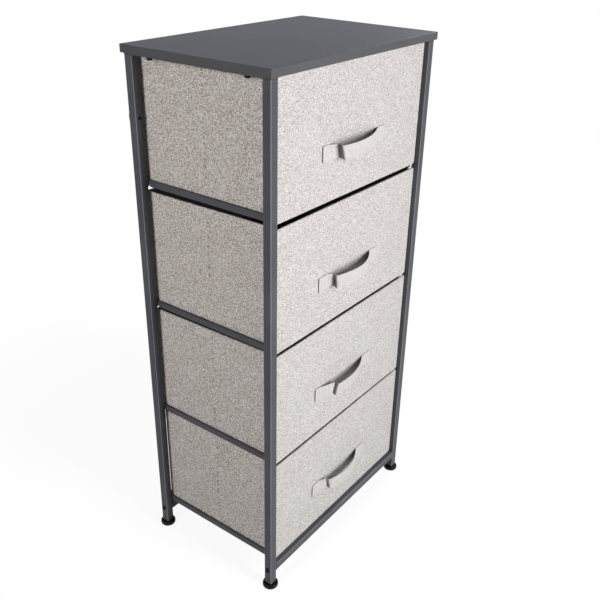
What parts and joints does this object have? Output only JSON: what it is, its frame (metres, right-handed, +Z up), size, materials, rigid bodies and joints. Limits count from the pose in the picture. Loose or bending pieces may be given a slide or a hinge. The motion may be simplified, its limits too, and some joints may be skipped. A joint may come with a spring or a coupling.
{
  "type": "storage drawer unit",
  "caption": "Narrow upright storage unit: a square-tube steel frame with a board on top and fabric drawers that slide on ledges, each with an arched strap pull.",
  "frame": {"origin": "on the floor, under the middle of the unit's bounding box", "axes": "+Z up, front faces -Y, +X to the right seen from the front"},
  "size_m": [0.455, 0.3044, 0.934],
  "materials": {
    "top_board": "satin charcoal laminate",
    "frame_steel": "satin powder coat",
    "fasteners": "black",
    "plastic": "matt black",
    "front_fabric": "pale linen weave",
    "bin_fabric": "linen weave",
    "base_board": "cloth-covered board"
  },
  "bodies": {
    "frame": {"top_board": "top_board", "front_left_leg": "frame_steel", "rear_left_leg": "frame_steel", "front_right_leg": "frame_steel", "rear_right_leg": "frame_steel", "left_ledge_1": "frame_steel", "left_ledge_2": "frame_steel", "left_ledge_3": "frame_steel", "left_ledge_4": "frame_steel", "right_ledge_1": "frame_steel", "right_ledge_2": "frame_steel", "right_ledge_3": "frame_steel", "right_ledge_4": "frame_steel", "left_top_strip": "frame_steel", "right_top_strip": "frame_steel", "front_bottom_rail": "frame_steel", "rear_bottom_rail": "frame_steel", "rear_brace": "frame_steel", "front_left_board_screw": "fasteners", "front_left_rail_bolt": "fasteners", "front_left_nut_plug": "plastic", "front_left_insert": "plastic", "rear_left_board_screw": "fasteners", "rear_left_rail_bolt": "fasteners", "rear_left_nut_plug": "plastic", "rear_left_insert": "plastic", "front_right_board_screw": "fasteners", "front_right_rail_bolt": "fasteners", "front_right_nut_plug": "plastic", "front_right_insert": "plastic", "rear_right_board_screw": "fasteners", "rear_right_rail_bolt": "fasteners", "rear_right_nut_plug": "plastic", "rear_right_insert": "plastic", "left_brace_bolt": "fasteners", "right_brace_bolt": "fasteners"},
    "drawer_1": {"drawer_1_front": "front_fabric", "drawer_1_bin": "bin_fabric", "drawer_1_base_board": "base_board", "drawer_1_pull": "front_fabric"},
    "drawer_2": {"drawer_2_front": "front_fabric", "drawer_2_bin": "bin_fabric", "drawer_2_base_board": "base_board", "drawer_2_pull": "front_fabric"},
    "drawer_3": {"drawer_3_front": "front_fabric", "drawer_3_bin": "bin_fabric", "drawer_3_base_board": "base_board", "drawer_3_pull": "front_fabric"},
    "drawer_4": {"drawer_4_front": "front_fabric", "drawer_4_bin": "bin_fabric", "drawer_4_base_board": "base_board", "drawer_4_pull": "front_fabric"},
    "front_left_leveller": {"front_left_foot": "plastic"},
    "rear_left_leveller": {"rear_left_foot": "plastic"},
    "front_right_leveller": {"front_right_foot": "plastic"},
    "rear_right_leveller": {"rear_right_foot": "plastic"}
  },
  "joints": [
    {"name": "drawer_1_slide", "type": "slide", "parent": "frame", "child": "drawer_1", "axis": [0, -1, 0], "range_m": [0, 0.2]},
    {"name": "drawer_2_slide", "type": "slide", "parent": "frame", "child": "drawer_2", "axis": [0, -1, 0], "range_m": [0, 0.2]},
    {"name": "drawer_3_slide", "type": "slide", "parent": "frame", "child": "drawer_3", "axis": [0, -1, 0], "range_m": [0, 0.2]},
    {"name": "drawer_4_slide", "type": "slide", "parent": "frame", "child": "drawer_4", "axis": [0, -1, 0], "range_m": [0, 0.2]},
    {"name": "front_left_foot_screw", "type": "slide", "parent": "frame", "child": "front_left_leveller", "axis": [0, 0, -1], "range_m": [0, 0.01]},
    {"name": "rear_left_foot_screw", "type": "slide", "parent": "frame", "child": "rear_left_leveller", "axis": [0, 0, -1], "range_m": [0, 0.01]},
    {"name": "front_right_foot_screw", "type": "slide", "parent": "frame", "child": "front_right_leveller", "axis": [0, 0, -1], "range_m": [0, 0.01]},
    {"name": "rear_right_foot_screw", "type": "slide", "parent": "frame", "child": "rear_right_leveller", "axis": [0, 0, -1], "range_m": [0, 0.01]}
  ]
}
